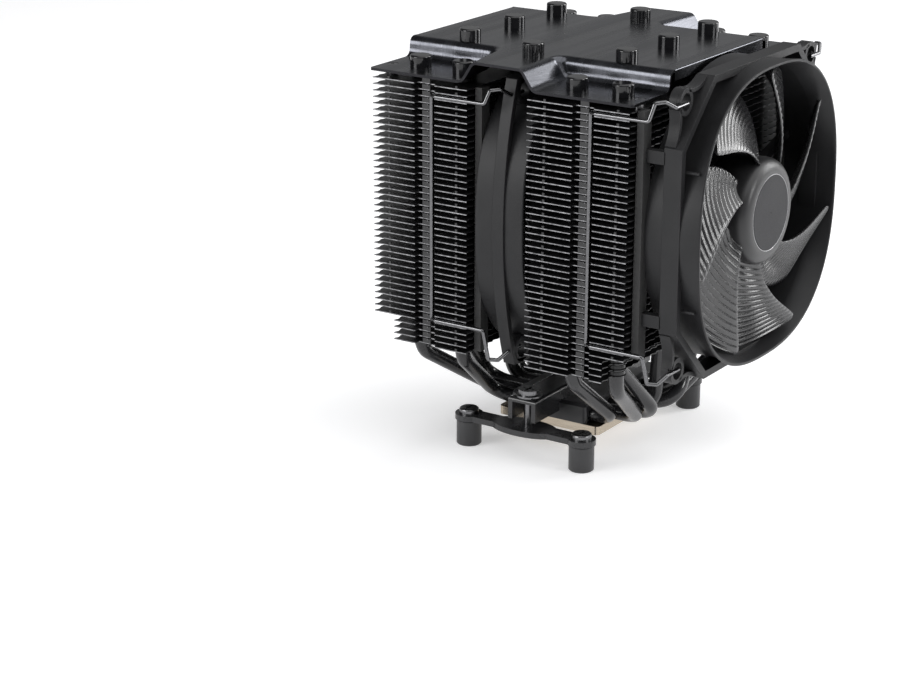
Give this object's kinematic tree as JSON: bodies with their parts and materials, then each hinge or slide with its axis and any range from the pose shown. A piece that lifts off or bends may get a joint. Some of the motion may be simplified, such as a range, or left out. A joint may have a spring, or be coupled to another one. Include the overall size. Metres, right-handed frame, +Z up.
{
  "type": "cpu tower cooler",
  "caption": "Black twin-tower CPU cooler with heat pipes, stepped brushed cover, front and middle fans on wire clips, and a bridge mount.",
  "frame": {"origin": "centre of the cold plate's contact face", "axes": "+Z up through the fin towers, -Y towards the intake face of the front fan, the air flows to +Y"},
  "size_m": [0.1396, 0.1436, 0.1708],
  "materials": {
    "nickel_plate": "ground and plated",
    "black_block": "black coated",
    "black_pipe": "black coated",
    "black_fin": "black coated",
    "pad_rubber": "matt",
    "brushed_black": "brushed, black anodised",
    "polished_black": "polished, black",
    "dark_steel": "black oxide",
    "bridge_black": "black coated",
    "post_black": "black zinc",
    "fan_frame_plastic": "matt moulded",
    "blade_plastic": "satin moulded",
    "badge_grey": "satin",
    "bearing_bronze": "sintered",
    "board_green": "solder mask",
    "stator_steel": "stamped",
    "coil_copper": "enamelled",
    "magnet_dark": "moulded",
    "shaft_steel": "ground",
    "spring_wire": "bright drawn"
  },
  "bodies": {
    "cooler": {"cold_plate": "nickel_plate", "base_block": "black_block", "heat_pipe_1": "black_pipe", "heat_pipe_2": "black_pipe", "heat_pipe_3": "black_pipe", "heat_pipe_4": "black_pipe", "heat_pipe_5": "black_pipe", "heat_pipe_6": "black_pipe", "heat_pipe_7": "black_pipe", "rear_fin_stack": "black_fin", "front_fin_stack": "black_fin", "rear_tower_pads": "pad_rubber", "front_tower_pads": "pad_rubber", "top_cover": "brushed_black", "cover_posts": "dark_steel", "cover_screws": "dark_steel", "heat_pipe_caps": "polished_black", "mounting_bridge": "bridge_black", "bridge_screws": "dark_steel", "mounting_bracket_left": "bridge_black", "mounting_bracket_right": "bridge_black", "standoffs": "post_black", "standoff_screws": "dark_steel", "front_fan_frame": "fan_frame_plastic", "front_fan_bearing": "bearing_bronze", "front_fan_circuit_board": "board_green", "front_fan_stator": "stator_steel", "front_fan_coils": "coil_copper", "middle_fan_frame": "fan_frame_plastic", "middle_fan_bearing": "bearing_bronze", "middle_fan_circuit_board": "board_green", "middle_fan_stator": "stator_steel", "middle_fan_coils": "coil_copper"},
    "front_rotor": {"front_fan_impeller": "blade_plastic", "front_fan_yoke": "stator_steel", "front_fan_magnet": "magnet_dark", "front_fan_shaft": "shaft_steel", "front_fan_badge": "badge_grey"},
    "middle_rotor": {"middle_fan_impeller": "blade_plastic", "middle_fan_yoke": "stator_steel", "middle_fan_magnet": "magnet_dark", "middle_fan_shaft": "shaft_steel", "middle_fan_badge": "badge_grey"},
    "front_clip_left": {"front_fan_clip_left": "spring_wire"},
    "front_clip_right": {"front_fan_clip_right": "spring_wire"},
    "middle_clip_left": {"middle_fan_clip_left": "spring_wire"},
    "middle_clip_right": {"middle_fan_clip_right": "spring_wire"},
    "plug_left": {"screw_plug_left": "polished_black"},
    "plug_right": {"screw_plug_right": "polished_black"}
  },
  "joints": [
    {"name": "front_fan_spin", "type": "hinge", "parent": "cooler", "child": "front_rotor", "pos_m": [0, -0.0735, 0.0976], "axis": [0, -1, 0], "continuous": true},
    {"name": "middle_fan_spin", "type": "hinge", "parent": "cooler", "child": "middle_rotor", "pos_m": [0, -0.0004, 0.0935], "axis": [0, -1, 0], "continuous": true},
    {"name": "front_clip_left_swing", "type": "hinge", "parent": "cooler", "child": "front_clip_left", "pos_m": [-0.055, -0.0732, 0.0976], "axis": [0, 0, 1], "range_deg": [0, 70]},
    {"name": "front_clip_right_swing", "type": "hinge", "parent": "cooler", "child": "front_clip_right", "pos_m": [0.055, -0.0732, 0.0976], "axis": [0, 0, -1], "range_deg": [0, 70]},
    {"name": "middle_clip_left_swing", "type": "hinge", "parent": "cooler", "child": "middle_clip_left", "pos_m": [-0.055, -0.0016, 0.0935], "axis": [0, 0, 1], "range_deg": [0, 70]},
    {"name": "middle_clip_right_swing", "type": "hinge", "parent": "cooler", "child": "middle_clip_right", "pos_m": [0.055, -0.0016, 0.0935], "axis": [0, 0, -1], "range_deg": [0, 70]},
    {"name": "plug_left_pull", "type": "slide", "parent": "cooler", "child": "plug_left", "axis": [0, 0, 1], "range_m": [0, 0.012]},
    {"name": "plug_right_pull", "type": "slide", "parent": "cooler", "child": "plug_right", "axis": [0, 0, 1], "range_m": [0, 0.012]}
  ]
}
